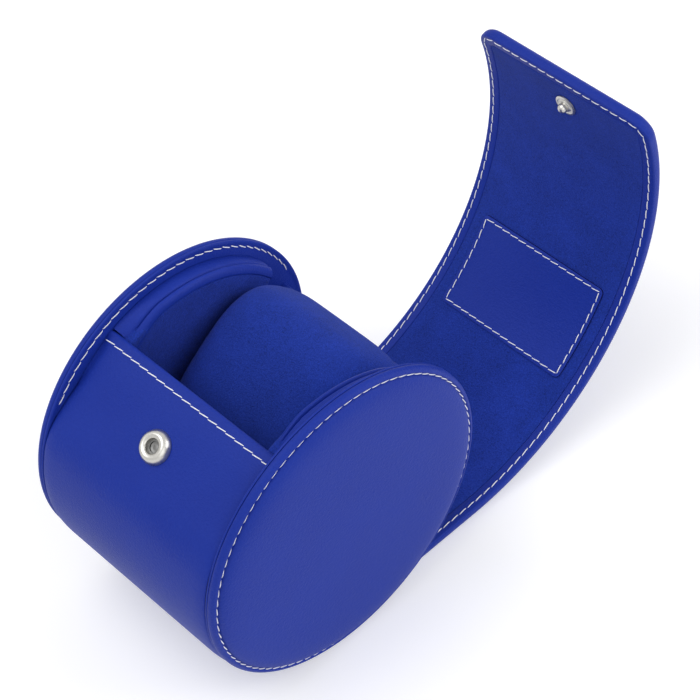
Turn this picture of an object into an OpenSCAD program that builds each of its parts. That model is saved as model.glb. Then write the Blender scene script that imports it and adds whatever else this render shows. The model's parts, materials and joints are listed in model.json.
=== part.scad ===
// Watch travel case: a padded drum between two round sides, with a cushion in it. Its wrap
// carries on at the back as a long flap, which lies open on the floor, curves up, and swings
// over the opening to close with a press stud.
// Millimetres. +X runs along the drum's axis, +Y to the back, where the flap lies, and +Z up.
// The origin is on the floor, under the drum's axis. Angles round the drum are in degrees
// from +Y towards +Z, so that 90 is the top and 180 the front.

/* [Drum] */
// Outer radius of the padded wrap
drum_r = 48.1; // [46:0.1:52]
// How deep the wrap is pressed flat where the case stands
foot_depth = 0.1; // [0.05:0.05:0.5]
// How far the wrap is sunk where the closed flap lies on it
flap_recess = 4.9; // [4.5:0.1:6]
// Angle at which the front panel turns from round to flat
panel_angle = 128; // [122:1:132]
// Radius of the soft shoulder below the front panel's flat
shoulder_r = 20; // [12:1:24]
// Angle of the front lip's edge
lip_angle = 113.5; // [110:0.5:118]
// Angle of the rear wall's top edge
wall_top_angle = 16; // [14:0.5:22]

/* [Layers] */
// Thickness of the leather
leather_t = 0.8; // [0.6:0.1:1.2]
// Thickness of the stiff board in the drum's wall
board_t = 0.7; // [0.5:0.1:1.2]
// Thickness of the suede lining
lining_t = 0.6; // [0.4:0.1:1]
// Thickness of a glue line between two layers
glue = 0.05; // [0.02:0.01:0.1]
// How far leather is turned over an edge
turnover = 3.6; // [2.5:0.1:5]
// Distance along the panel from its flat's start to where the padding starts
foam_start = 10.5; // [8:0.5:14]

/* [Compartment] */
// Clear width between the two side pads
cavity_w = 52; // [48:1:60]
// Thickness of a side pad, lining included
pad_t = 6.3; // [5:0.1:8]
// Angle at which a side pad's raised collar starts, at the back
collar_start = 36; // [30:1:42]
// Angle at which it ends, at the front lip
collar_end = 113; // [100:0.5:113]
// How far the collar's leather reaches down the pad's inner face
collar_fold = 2.6; // [2:0.2:7]
// How far the pad drops behind the collar
notch_drop = 7.2; // [5:0.2:9]

/* [Round sides] */
// How far a side's rim stands proud of the wrap
rim_proud = 0.1; // [0:0.05:0.5]
// Thickness of a side's board
disc_board_t = 0.95; // [0.8:0.05:1.6]
// Distance from the rim to the edge of that board
disc_board_in = 1.6; // [1.2:0.1:2.4]
// Distance from the rim to the sewn groove
groove_in = 2.4; // [2:0.1:3.4]
// Distance from the groove to the padded middle's shoulder
shoulder_in = 1.1; // [0.8:0.1:1.8]
// Height of the shoulder over the groove
shoulder_rise = 0.9; // [0.4:0.1:1.5]
// Height of the padded middle's crown over its shoulder
crown_rise = 1.7; // [0.5:0.1:3]
// Height of the rim's bead over the groove
bead_rise = 0.5; // [0.2:0.1:0.8]

/* [Cushion] */
// Air between the cushion and each side pad
cushion_side_air = 0.6; // [0.3:0.1:2]
// Width of its oval section
cushion_w = 48.8; // [44:0.2:50]
// Height of its oval section along the tilt
cushion_h = 78.8; // [70:0.2:79]
// How far its middle lies behind the drum's axis
cushion_back = 12.1; // [10:0.1:13]
// How far its middle lies below the drum's axis
cushion_drop = 3.4; // [2.5:0.1:4]
// How far it leans back
cushion_tilt = 16.3; // [10:0.1:20]
// Thickness of its cover
cushion_skin = 1; // [0.8:0.1:1.5]
// Air between the cushion and the walls
cushion_air = 0.3; // [0.2:0.05:0.6]

/* [Flap] */
// Thickness of the flap, all layers
flap_t = 3.9; // [3.4:0.1:4.3]
// Thickness of its outer leather
flap_leather_t = 1.1; // [0.9:0.1:1.3]
// Thickness of its suede lining and of the turned-over border
flap_lining_t = 1; // [0.8:0.1:1.2]
// Air between the flap's long edges and the round sides
flap_air = 0.85; // [0.5:0.05:1.5]
// Distance from the drum's axis back to the flap's root
root_back = 8; // [6:0.5:12]
// Length of the flap's straight part on the floor
flat_l = 43.3; // [40:0.1:48]
// Radius of the lining where the flap curves up
bend_r = 73; // [66:0.5:80]
// How far round the flap curves up
bend_sweep = 111.5; // [105:0.5:114]
// Radius of the flap's two outer corners
flap_corner_r = 6.5; // [4:0.5:9]
// Depth of the bending line under the flap's outer skin
bend_depth = 1.6; // [1.4:0.1:1.9]
// Gap between two neighbouring stretches of the flap
joint_gap = 0.3; // [0.2:0.05:0.4]

/* [Patch] */
// Width of the sewn patch on the flap's lining
patch_w = 47; // [40:0.5:52]
// Angle round the bend of the patch's lower edge
patch_low = 35.8; // [33:0.2:40]
// Angle round the bend of the patch's upper edge
patch_high = 59.4; // [54:0.2:62]
// Thickness of the patch
patch_t = 0.6; // [0.4:0.1:0.6]

/* [Press stud] */
// Distance along the lining from the flap's end edge to the stud
stud_in = 12.5; // [11:0.1:14]
// Radius of the stud's base
stud_base_r = 3.5; // [3:0.1:4.2]
// Height of the stud's base
stud_base_h = 0.5; // [0.4:0.1:0.7]
// Radius of the stud's ball
stud_ball_r = 1.5; // [1.2:0.05:1.6]
// How much thinner the stud's neck is than its ball
neck_in = 0.25; // [0.15:0.05:0.3]
// Height of the stud's tip over the lining
stud_tip_h = 2.8; // [2.5:0.1:3]
// Radius of the rivets' shanks
shank_r = 1.1; // [0.8:0.05:1.2]
// Radius of the rivets' heads
rivet_head_r = 3.2; // [2.6:0.1:3.6]
// Thickness of the rivets' heads
rivet_head_t = 0.35; // [0.25:0.05:0.4]
// Radius of the socket's rim
socket_r = 4.75; // [4.2:0.05:5.5]
// Height of the socket over the panel
socket_h = 2.4; // [2:0.1:2.6]
// Radius of the socket's mouth
mouth_r = 2.1; // [1.9:0.05:2.4]
// How far the lip of the mouth reaches in
mouth_lip_in = 0.1; // [0.05:0.01:0.15]
// How far the lip is sunk below the socket's top
mouth_sink = 0.34; // [0.3:0.01:0.4]
// Thickness of the lip, over the spring's groove
mouth_lip_t = 0.08; // [0.06:0.01:0.12]
// Wire radius of the ring spring in the socket
spring_wire_r = 0.2; // [0.15:0.01:0.22]
// Room between the stud's ball and that spring
spring_air = 0.1; // [0.05:0.01:0.15]
// Distance down the panel's flat from its start to the socket
socket_along = 6.1; // [5:0.1:8]

/* [Hidden] */
// The flap bends along its whole length, so it is split into short stiff stretches.
flat_count = 3;
bend_count = 7;
tab_count = 3;
flap_count = flat_count + bend_count;

// How far each bending line folds from the open flap to the closed one
close_root = 20.9;
close_flat = 15.1;
close_bend = 11.0;
close_tab = 5.9;
// Spare angle on both faces of a bending line
spare_angle = 0.4;

sides = ["left", "right"];

$fn = 96;

axis_z = drum_r - foot_depth;
carry_r = drum_r - flap_recess;
board_out_r = carry_r - leather_t - glue;
board_in_r = board_out_r - board_t;
cavity_r = board_in_r - glue - lining_t;
far = 3 * drum_r;
// An angle past the flap's root, where the cut at the root takes over
past_root = 300;
// The angle that a glue line takes where the closed flap lies
glue_angle = arc_angle(glue, carry_r);

body_half = cavity_w / 2 + pad_t;
flange_face = body_half + glue;
disc_board_face = flange_face + leather_t + glue;
disc_foam_face = disc_board_face + disc_board_t + glue;
groove_face = disc_foam_face + leather_t;
rim_r = drum_r + rim_proud;
groove_r = rim_r - groove_in;
padded_r = groove_r - shoulder_in;
disc_foam_r = padded_r - 2 * leather_t;
// Straight pieces that a crowned line is made of
crown_steps = 8;

cushion_l = cavity_w - 2 * cushion_side_air;

flap_half = body_half - flap_air;
border_in = turnover;
bend_y = root_back + flat_l;
bend_z = flap_t + bend_r;
bend_step = bend_sweep / bend_count;
hinge_r = bend_z - bend_depth;
stud_angle = bend_sweep - arc_angle(stud_in, bend_r);
// Straight pieces that a rounded corner of the flap is made of
corner_steps = 8;

function polar(a) = [cos(a), sin(a)];
function arc_angle(len, r) = len / r * 180 / PI;
// How far a round face leaves a flat one over half a width
function sagitta(half_w, r) = r - sqrt(pow(r, 2) - pow(half_w, 2));

// ---- Placing ----

// Lifts a piece that is drawn about the drum's axis
module on_axis() {
    translate([0, 0, axis_z]) children();
}

// Draws a profile of the (Y, Z) plane out along X, the same way to both sides
module across(half_w) {
    rotate([90, 0, 90]) linear_extrude(2 * half_w, center = true) children();
}

// Draws a profile of the (Y, Z) plane from x0 to x1
module along_x(x0, x1) {
    translate([x0, 0, 0]) rotate([90, 0, 90]) linear_extrude(x1 - x0) children();
}

// Turns a profile of (radius, X) about the drum's axis
module turned() {
    rotate([0, 90, 0]) rotate_extrude($fn = 128) children();
}

// Puts a piece on the right side as drawn, or on the left as its mirror image
module on_side(s) {
    mirror([s == "left" ? 1 : 0, 0, 0]) children();
}

// Takes away what would reach below the floor
module above_floor() {
    difference() {
        children();
        translate([-far, -far, -2 * far]) cube([2 * far, 2 * far, 2 * far]);
    }
}

// ---- Profiles of the drum ----

module sector(a0, a1, reach = far) {
    widest = 30;
    steps = ceil((a1 - a0) / widest);
    polygon(concat([[0, 0]], [for (i = [0:steps]) reach * polar(a0 + (a1 - a0) * i / steps)]));
}

module ring(r_in, r_out) {
    difference() {
        circle(r_out);
        circle(r_in);
    }
}

module ring_sector(r_in, r_out, a0, a1) {
    intersection() {
        ring(r_in, r_out);
        sector(a0, a1);
    }
}

// Outline of the drum's front and bottom, drawn in by an inset: round, flat where the closed
// flap's tab lies, and round again past a soft shoulder
module drum_outline(inset) {
    shoulder = [carry_r - shoulder_r,
        sqrt(pow(drum_r - shoulder_r, 2) - pow(carry_r - shoulder_r, 2))];
    shoulder_angle = atan2(shoulder.y, shoulder.x);
    circle(carry_r - inset);
    rotate(panel_angle) difference() {
        intersection() {
            circle(drum_r - inset);
            translate([-far, 0]) square([far + carry_r - inset, far]);
        }
        translate(shoulder) difference() {
            sector(0, shoulder_angle, 2 * shoulder_r);
            circle(shoulder_r - inset);
        }
    }
}

// Everything in front of the flap's root, by a setback
module before_root(setback) {
    translate([-far, -far]) square([far + root_back - joint_gap / 2 - setback, 2 * far]);
}

// ---- Drum ----

module wrap_leather() {
    fold = arc_angle(turnover, carry_r);
    edge = arc_angle(leather_t, carry_r);
    color("royalblue") difference() {
        on_axis() across(body_half) difference() {
            union() {
                intersection() {
                    difference() {
                        drum_outline(0);
                        drum_outline(leather_t);
                    }
                    sector(lip_angle, past_root);
                    before_root(0);
                }
                ring_sector(cavity_r, carry_r, lip_angle, lip_angle + fold);
            }
            ring_sector(board_in_r - glue, board_out_r + glue, lip_angle + edge, lip_angle + 2 * fold);
        }
        at_socket() translate([0, 0, -2 * leather_t]) cylinder(h = 4 * leather_t, r = mouth_r);
        translate([-far, -far, -2 * far]) cube([2 * far, 2 * far, 2 * far]);
    }
}

module wrap_foam() {
    color("khaki") on_axis() across(body_half) difference() {
        intersection() {
            drum_outline(leather_t + glue);
            rotate(panel_angle) translate([-far, foam_start]) square([2 * far, far]);
            before_root(leather_t + glue);
        }
        circle(board_out_r + glue);
    }
}

module shell_board() {
    edge = arc_angle(leather_t + glue, carry_r);
    color("tan") difference() {
        on_axis() across(body_half)
            ring_sector(board_in_r, board_out_r, lip_angle + edge, 360 + wall_top_angle - edge);
        at_socket() translate([0, 0, -flap_recess]) cylinder(h = flap_recess, r = rivet_head_r + glue);
    }
}

module compartment_lining() {
    fold = arc_angle(turnover + glue, carry_r);
    color("midnightblue") on_axis() across(body_half)
        ring_sector(cavity_r, cavity_r + lining_t, lip_angle + fold, 360 + wall_top_angle - fold);
}

// Leather on the back of the drum, from the flap's root up and over the rear wall's top
module rear_wall_cover() {
    fold = arc_angle(turnover, carry_r);
    edge = arc_angle(leather_t, carry_r);
    root_angle = acos((root_back - joint_gap / 2 - leather_t) / board_out_r);
    color("royalblue") on_axis() across(body_half) difference() {
        union() {
            ring_sector(board_out_r + glue, carry_r, -root_angle, wall_top_angle);
            ring_sector(cavity_r, carry_r, wall_top_angle - fold, wall_top_angle);
            // The skin of the wrap's end, behind the flap's root
            intersection() {
                difference() {
                    drum_outline(leather_t + glue);
                    circle(board_out_r + glue);
                }
                before_root(0);
                translate([root_back - joint_gap / 2 - leather_t, -far]) square([far, far]);
            }
        }
        ring_sector(board_in_r - glue, board_out_r + glue,
            wall_top_angle - 2 * fold, wall_top_angle - edge);
    }
}

// ---- Side pads ----

// What a side pad fills, seen along X, up to a radius under its collar
module pad_outline(collar_top_r, collar_setback) {
    difference() {
        union() {
            circle(cavity_r - glue);
            ring_sector(cavity_r / 2, collar_top_r,
                collar_start + arc_angle(collar_setback, carry_r), collar_end);
        }
        ring_sector(carry_r - notch_drop, far, wall_top_angle,
            collar_start + arc_angle(collar_setback, carry_r));
    }
}

module side_pad() {
    color("khaki") on_axis() along_x(cavity_w / 2 + lining_t + glue, body_half)
        pad_outline(board_out_r, leather_t + glue);
}

module side_lining() {
    color("midnightblue") on_axis() along_x(cavity_w / 2, cavity_w / 2 + lining_t) difference() {
        pad_outline(cavity_r - glue, -glue);
        ring_sector(carry_r - collar_fold, far, collar_start - glue_angle, collar_end + glue_angle);
    }
}

// Leather over the top of a side pad, down its inner face and down its rear end
module collar_trim() {
    back = collar_start + arc_angle(leather_t, carry_r);
    color("royalblue") on_axis() {
        along_x(cavity_w / 2, body_half)
            ring_sector(board_out_r + glue, carry_r, collar_start, collar_end);
        along_x(cavity_w / 2, cavity_w / 2 + lining_t)
            ring_sector(carry_r - collar_fold + glue, carry_r, collar_start, collar_end);
        along_x(cavity_w / 2 + lining_t + glue, body_half)
            ring_sector(carry_r - notch_drop, carry_r, collar_start, back);
    }
}

// ---- Round sides ----

function crown_x(r, over) = groove_face + shoulder_rise + crown_rise * (1 - pow(r / padded_r, 2)) - over;

// The crown's outline from near its shoulder in to the middle, lowered by a thickness
function crown_line(r_out, over) =
    [for (i = [0:crown_steps]) let (r = r_out * (1 - i / crown_steps)) [r, crown_x(r, over)]];

module flange_leather() {
    color("royalblue") above_floor() on_axis()
        turned() translate([0, flange_face]) square([rim_r, leather_t]);
}

module disc_board() {
    color("tan") on_axis()
        turned() translate([0, disc_board_face]) square([rim_r - disc_board_in, disc_board_t]);
}

module disc_foam() {
    color("khaki") on_axis() turned() polygon(concat(
        [[0, disc_foam_face], [disc_foam_r, disc_foam_face]],
        crown_line(disc_foam_r, leather_t + glue)
    ));
}

// Outer leather of a side: a rounded rim, a sewn groove and the padded middle
module disc_cover() {
    under_r = disc_foam_r + glue;
    board_edge_r = rim_r - disc_board_in + glue;
    bead_face = groove_face + bead_rise;
    color("royalblue") above_floor() on_axis() turned() polygon(concat(
        [for (i = [0:crown_steps]) let (r = under_r * i / crown_steps) [r, crown_x(r, leather_t)]],
        [
            [under_r, disc_foam_face],
            [board_edge_r, disc_foam_face],
            [board_edge_r, disc_board_face],
            [rim_r, disc_board_face],
            [rim_r, groove_face - 0.5 * leather_t],
            [rim_r - 0.15 * groove_in, bead_face - 0.25 * leather_t],
            [rim_r - 0.4 * groove_in, bead_face],
            [rim_r - 0.6 * groove_in, bead_face - 0.1 * bead_rise],
            [rim_r - 0.85 * groove_in, groove_face + 0.3 * bead_rise],
            [groove_r, groove_face],
            [groove_r - 0.3 * shoulder_in, groove_face + 0.4 * shoulder_rise],
            [groove_r - 0.65 * shoulder_in, groove_face + 0.85 * shoulder_rise]
        ],
        crown_line(padded_r, 0)
    ));
}

// ---- Press stud's socket, on the front panel's flat ----

module at_socket() {
    on_axis() rotate([panel_angle - 90, 0, 0]) translate([0, -socket_along, carry_r]) children();
}

spring_r = stud_ball_r + spring_air + 2 * spring_wire_r;
mouth_lip_z = socket_h - mouth_sink;
// The groove holds the spring with a glue line's room on each side
groove_h = spring_wire_r + glue;
spring_z = mouth_lip_z - mouth_lip_t - groove_h;
socket_skirt_h = 0.3 * socket_h;

module socket_cap() {
    color("silver") at_socket() rotate_extrude($fn = 64) polygon([
        [mouth_r, glue],
        [socket_r, glue],
        [socket_r, socket_skirt_h],
        [0.93 * socket_r, 0.65 * socket_h],
        [0.8 * socket_r, 0.9 * socket_h],
        [0.68 * socket_r, socket_h],
        [0.58 * socket_r, 0.97 * socket_h],
        [mouth_r - mouth_lip_in, mouth_lip_z],
        [mouth_r - mouth_lip_in, spring_z + groove_h],
        [mouth_r + groove_h, spring_z + groove_h],
        [mouth_r + groove_h, spring_z - groove_h],
        [mouth_r, spring_z - groove_h]
    ]);
}

module socket_spring() {
    open_angle = 40;
    color("gray") at_socket() translate([0, 0, spring_z])
        rotate_extrude(angle = 360 - open_angle, $fn = 64) translate([spring_r, 0])
            circle(spring_wire_r, $fn = 24);
}

// Hollow rivet that holds the socket: its head is behind the leather, in a hole of the board
module socket_rivet() {
    head_z = -leather_t - glue - rivet_head_t;
    color("gray") at_socket() difference() {
        union() {
            translate([0, 0, head_z]) cylinder(h = rivet_head_t, r = rivet_head_r);
            translate([0, 0, head_z]) cylinder(h = socket_skirt_h - head_z, r = mouth_r - glue);
        }
        translate([0, 0, -flap_recess]) cylinder(h = 2 * flap_recess, r = stud_ball_r + glue);
    }
}

// ---- Cushion ----

cushion_rings = 16;
cushion_sides = 32;
end_power = 6;

// Radius that the cushion keeps to: the walls, or above the rear wall the closed flap
function cushion_limit(a) =
    (a > wall_top_angle && a < lip_angle ? carry_r - 2 * patch_t : cavity_r) - cushion_air;

function kept_in(p) = let (a = (atan2(p.y, p.x) + 360) % 360, r = norm(p), m = cushion_limit(a))
    r > m ? p * m / r : p;

function leaned(p) = [p.x * cos(cushion_tilt) + p.y * sin(cushion_tilt),
    p.y * cos(cushion_tilt) - p.x * sin(cushion_tilt)];

// One point of the section at angle a, as a share k of its full size, drawn in by an inset
function section_point(a, k, inset) =
    let (mid = [cushion_back, -cushion_drop],
        edge = kept_in(mid + leaned([cushion_w / 2 * cos(a), cushion_h / 2 * sin(a)])),
        out = edge - mid)
    mid + out * k * (1 - inset / norm(out));

// A closed oval cushion whose ends are crowned and drawn in
module cushion_form(inset) {
    half = cushion_l / 2 - inset;
    stations = [for (i = [0:cushion_rings]) let (u = -90 + 180 * (i + 0.5) / (cushion_rings + 1)) sin(u)];
    points = concat(
        [for (s = stations) let (k = pow(1 - pow(abs(s), end_power), 1 / end_power))
            for (j = [0:cushion_sides - 1]) let (p = section_point(360 * j / cushion_sides, k, inset))
                [half * s, p.x, p.y]],
        [[-half, cushion_back, -cushion_drop], [half, cushion_back, -cushion_drop]]);
    last = cushion_rings * cushion_sides;
    low_tip = (cushion_rings + 1) * cushion_sides;
    faces = concat(
        [for (i = [0:cushion_rings - 1], j = [0:cushion_sides - 1])
            let (a = i * cushion_sides + j, b = i * cushion_sides + (j + 1) % cushion_sides)
                [a, b + cushion_sides, b]],
        [for (i = [0:cushion_rings - 1], j = [0:cushion_sides - 1])
            let (a = i * cushion_sides + j, b = i * cushion_sides + (j + 1) % cushion_sides)
                [a, a + cushion_sides, b + cushion_sides]],
        [for (j = [0:cushion_sides - 1]) [low_tip, j, (j + 1) % cushion_sides]],
        [for (j = [0:cushion_sides - 1]) [low_tip + 1, last + (j + 1) % cushion_sides, last + j]]);
    polyhedron(points, faces);
}

module cushion_cover() {
    color("midnightblue") on_axis() difference() {
        cushion_form(0);
        cushion_form(cushion_skin);
    }
}

module cushion_core() {
    color("khaki") on_axis() cushion_form(cushion_skin + glue);
}

// ---- Flap ----

// Bending line k lies before stretch k + 1. Line 0 is the root, and the last is the end edge.
function hinge_turn(k) = k <= flat_count ? 0 : (k - flat_count) * bend_step;
function hinge_point(k) = let (a = hinge_turn(k)) k <= flat_count
    ? [root_back + k * flat_l / flat_count, bend_depth]
    : [bend_y + hinge_r * sin(a), bend_z - hinge_r * cos(a)];
// How far the face after line k leans, and the one before it, to leave room to fold
function lean_after(k) = k == 0 ? close_root + spare_angle : lean_before(k);
function lean_before(k) = k == flap_count ? 0
    : k <= flat_count ? close_flat / 2 + spare_angle
    : k <= flap_count - 1 - tab_count ? close_bend / 2 + spare_angle
    : close_tab / 2 + spare_angle;

// A point at bending line k: along the flap, and up towards its lining
function at_line(k, along, up) = let (a = hinge_turn(k))
    hinge_point(k) + [along * cos(a) - up * sin(a), along * sin(a) + up * cos(a)];

// The space of stretch i, whose free end is drawn back on the last stretch
module stretch_zone(i, end_back) {
    start_gap = joint_gap / 2;
    end_gap = i == flap_count ? end_back : joint_gap / 2;
    polygon([
        at_line(i - 1, start_gap, -flap_t),
        at_line(i - 1, start_gap, 0),
        at_line(i - 1, start_gap + flap_t * tan(lean_after(i - 1)), flap_t),
        at_line(i, -end_gap - flap_t * tan(lean_before(i)), flap_t),
        at_line(i, -end_gap, 0),
        at_line(i, -end_gap, -flap_t)
    ]);
}

// A layer of the flap on stretch i, between two depths under the outer skin
module flap_layer(i, depth0, depth1, end_back) {
    intersection() {
        stretch_zone(i, end_back);
        if (i <= flat_count) translate([0, depth0]) square([bend_y, depth1 - depth0]);
        else translate([bend_y, bend_z]) ring(bend_z - depth1, bend_z - depth0);
    }
}

// The flap's frame at an angle round the bend: Y along the flap, Z from the skin to the lining
module at_bend(angle) {
    translate([0, bend_y, bend_z]) rotate([angle, 0, 0]) translate([0, 0, -bend_z]) children();
}

// A straight prism whose outline has the flap's rounded end, drawn in by an inset
module end_outline(inset) {
    least_r = 1;
    corner = max(flap_corner_r - inset, least_r);
    half = flap_half - inset;
    quarter = [for (i = [0:corner_steps]) polar(90 * i / corner_steps) * corner];
    at_bend(bend_sweep) translate([0, 0, -flap_t]) linear_extrude(3 * flap_t) polygon(concat(
        [[half, -flat_l]],
        [for (q = quarter) [half - corner + q.x, q.y - inset - corner]],
        [for (i = [corner_steps:-1:0]) [corner - half - quarter[i].x, quarter[i].y - inset - corner]],
        [[-half, -flat_l]]
    ));
}

// A layer as a solid: straight-sided, with rounded corners on the last stretch
module flap_solid(i, depth0, depth1, inset) {
    if (i < flap_count) across(flap_half - inset) flap_layer(i, depth0, depth1, inset);
    else intersection() {
        across(flap_half - inset) flap_layer(i, depth0, depth1, 0);
        end_outline(inset);
    }
}

// Outer leather of stretch i, turned over the edges to make the border round the lining
module flap_cover(i) {
    color("royalblue") difference() {
        flap_solid(i, 0, flap_t, 0);
        flap_solid(i, flap_leather_t, flap_t - flap_lining_t, flap_leather_t);
        flap_solid(i, flap_t - flap_lining_t - glue, 2 * flap_t, border_in);
    }
}

// Where the head of the stud's rivet starts: flat, over the curved leather
stud_head_z = flap_leather_t + glue + sagitta(rivet_head_r, bend_z - flap_leather_t);

module flap_board(i) {
    color("tan") difference() {
        flap_solid(i, flap_leather_t + glue, flap_t - flap_lining_t - glue, flap_leather_t + glue);
        if (i == flap_count) at_bend(stud_angle) {
            cylinder(h = 2 * flap_t, r = shank_r + glue);
            cylinder(h = stud_head_z + rivet_head_t + glue, r = rivet_head_r + glue);
        }
    }
}

module flap_lining(i) {
    color("midnightblue") difference() {
        flap_solid(i, flap_t - flap_lining_t, flap_t, border_in + glue);
        if (i == flap_count) at_bend(stud_angle) cylinder(h = 2 * flap_t, r = shank_r + glue);
    }
}

// ---- Press stud, on the flap's last stretch ----

// Its base starts flat, over the curved lining
stud_base_z = flap_t + glue + sagitta(stud_base_r, bend_r);

module snap_stud() {
    ball_z = flap_t + stud_tip_h - stud_ball_r;
    color("silver") at_bend(stud_angle) difference() {
        union() {
            translate([0, 0, stud_base_z]) cylinder(h = stud_base_h, r = stud_base_r);
            translate([0, 0, stud_base_z]) cylinder(h = ball_z - stud_base_z, r = stud_ball_r - neck_in);
            translate([0, 0, ball_z]) sphere(stud_ball_r, $fn = 48);
        }
        cylinder(h = ball_z, r = shank_r + glue);
    }
}

module stud_rivet() {
    color("gray") at_bend(stud_angle) translate([0, 0, stud_head_z]) {
        cylinder(h = rivet_head_t, r = rivet_head_r);
        cylinder(h = flap_t + stud_base_h - stud_head_z, r = shank_r);
    }
}

// ---- Patch on the flap's lining, bare ----

module label_patch(i, low, high) {
    color("royalblue") across(patch_w / 2) intersection() {
        flap_layer(i, flap_t + glue, flap_t + glue + patch_t, 0);
        translate([bend_y, bend_z]) sector(low - 90, high - 90);
    }
}

patch_line = flat_count + ceil(patch_low / bend_step);

wrap_leather();
wrap_foam();
shell_board();
compartment_lining();
rear_wall_cover();
for (s = sides) {
    on_side(s) flange_leather();
    on_side(s) disc_board();
    on_side(s) disc_foam();
    on_side(s) disc_cover();
    on_side(s) side_pad();
    on_side(s) side_lining();
    on_side(s) collar_trim();
}
socket_cap();
socket_spring();
socket_rivet();
cushion_core();
cushion_cover();
for (i = [1:flap_count]) {
    flap_cover(i);
    flap_board(i);
    flap_lining(i);
}
snap_stud();
stud_rivet();
label_patch(patch_line, patch_low, 90);  // label_patch_lower
label_patch(patch_line + 1, 0, patch_high);  // label_patch_upper
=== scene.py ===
import bmesh
import bpy
import json
import math
from mathutils import Matrix, Vector


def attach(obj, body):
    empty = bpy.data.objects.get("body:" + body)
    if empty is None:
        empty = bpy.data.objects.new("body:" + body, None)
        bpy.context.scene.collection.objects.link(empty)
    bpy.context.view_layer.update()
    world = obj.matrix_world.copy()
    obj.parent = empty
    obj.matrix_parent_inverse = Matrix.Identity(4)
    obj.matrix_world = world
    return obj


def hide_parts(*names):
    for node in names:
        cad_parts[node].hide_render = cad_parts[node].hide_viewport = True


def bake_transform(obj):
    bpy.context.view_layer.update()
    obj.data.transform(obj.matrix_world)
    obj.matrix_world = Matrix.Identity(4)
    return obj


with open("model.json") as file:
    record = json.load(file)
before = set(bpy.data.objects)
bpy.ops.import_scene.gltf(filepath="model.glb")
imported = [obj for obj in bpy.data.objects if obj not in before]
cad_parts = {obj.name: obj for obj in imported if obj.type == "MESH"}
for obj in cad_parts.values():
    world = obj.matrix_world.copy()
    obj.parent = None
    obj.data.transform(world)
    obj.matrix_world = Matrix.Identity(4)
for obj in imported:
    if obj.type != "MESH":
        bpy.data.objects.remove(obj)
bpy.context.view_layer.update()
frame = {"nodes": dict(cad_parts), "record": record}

MM = 0.001

# ---- Sizes, in millimetres, as in the construction ----

DRUM_R = 48.1          # padded wrap
CARRY_R = 43.2         # surface that the closed flap lies on
CAVITY_R = 41.0        # lining of the compartment
AXIS_Z = 48.0
BODY_HALF = 32.3       # half width between the round sides
CAVITY_HALF = 26.0     # half width between the side pads
LIP_ANGLE = 113.5
PANEL_ANGLE = 128.0
SHOULDER_R = 20.0
WALL_TOP_ANGLE = 16.0
ROOT = 8.0             # flap's root, behind the drum's axis
GROOVE_R = 45.8        # sewn ring of a round side
RIM_R = 47.6
RIM_ROLL = 1.6         # rounding of a side's outer edge
SKIN = 0.7             # leather that shows only from one side

FLAP_T = 3.9
FLAP_HALF = 31.45
FLAT_L = 43.3
BEND_R = 73.0
BEND_SWEEP = 111.5
FLAP_CORNER_R = 6.5
HINGE_UP = 1.6
FLAT_COUNT, BEND_COUNT = 3, 7
FLAP_COUNT = FLAT_COUNT + BEND_COUNT
BEND_Y = ROOT + FLAT_L
FLAP_END = BEND_Y + BEND_R * math.radians(BEND_SWEEP)

STITCH_PITCH = 3.3
STITCH_L = 3.2
STITCH_UP = 0.14       # height of a stitch's middle over the leather
STITCH_DIVE = 0.3      # how much lower its ends are
THREAD_R = 0.15


def polar(angle, r, x=0.0):
    """The point at an angle round the drum, from the back up over the top, in metres."""
    a = math.radians(angle)
    return Vector((x, r * math.cos(a), AXIS_Z + r * math.sin(a))) * MM


def steps(a, b, step):
    """Values from a to b, evenly spaced, no further apart than step."""
    n = max(1, math.ceil(abs(b - a) / step - 1e-6))
    return [a + (b - a) * i / n for i in range(n + 1)]


# ---- Hand tools ----

def edit(piece):
    """Goes into edit mode with all of a piece selected."""
    bpy.ops.object.select_all(action="DESELECT")
    bpy.context.view_layer.objects.active = piece
    piece.select_set(True)
    bpy.ops.object.mode_set(mode="EDIT")
    bpy.ops.mesh.select_all(action="SELECT")


def leave_edit():
    bpy.ops.object.mode_set(mode="OBJECT")


def edges_where(piece, test):
    """Goes into edit mode with just those edges selected whose both ends pass a test."""
    edit(piece)
    bpy.ops.mesh.select_all(action="DESELECT")
    leave_edit()
    for edge in piece.data.edges:
        edge.select = all(test(piece.data.vertices[i].co / MM) for i in edge.vertices)
    bpy.context.tool_settings.mesh_select_mode = (False, True, False)
    bpy.ops.object.mode_set(mode="EDIT")


def rounded(piece, test, width, segments):
    """Bevels the edges whose both ends pass a test."""
    edges_where(piece, test)
    bpy.ops.mesh.bevel(offset=width * MM, segments=segments, affect="EDGES")
    leave_edit()
    bpy.context.tool_settings.mesh_select_mode = (True, False, False)
    return piece


def drawn(name, points, closed=False):
    """A line drawn from point to point, left in edit mode: a small plane merged to one vertex, extruded."""
    bpy.ops.object.select_all(action="DESELECT")
    bpy.ops.mesh.primitive_plane_add(size=MM)
    piece = bpy.context.object
    piece.name = name
    bpy.ops.object.mode_set(mode="EDIT")
    bpy.ops.mesh.select_all(action="SELECT")
    bpy.ops.mesh.merge(type="CENTER")
    bpy.ops.transform.translate(value=points[0])
    for here, there in zip(points, points[1:]):
        bpy.ops.mesh.extrude_region_move(TRANSFORM_OT_translate={"value": there - here})
    if closed:
        bpy.ops.mesh.select_all(action="SELECT")
        bpy.ops.mesh.edge_face_add()
    return piece


def tidy_mesh():
    """Merges doubles and turns the faces outwards, in edit mode."""
    bpy.ops.mesh.select_all(action="SELECT")
    bpy.ops.mesh.remove_doubles(threshold=2e-6)
    bpy.ops.mesh.normals_make_consistent(inside=False)


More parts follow.
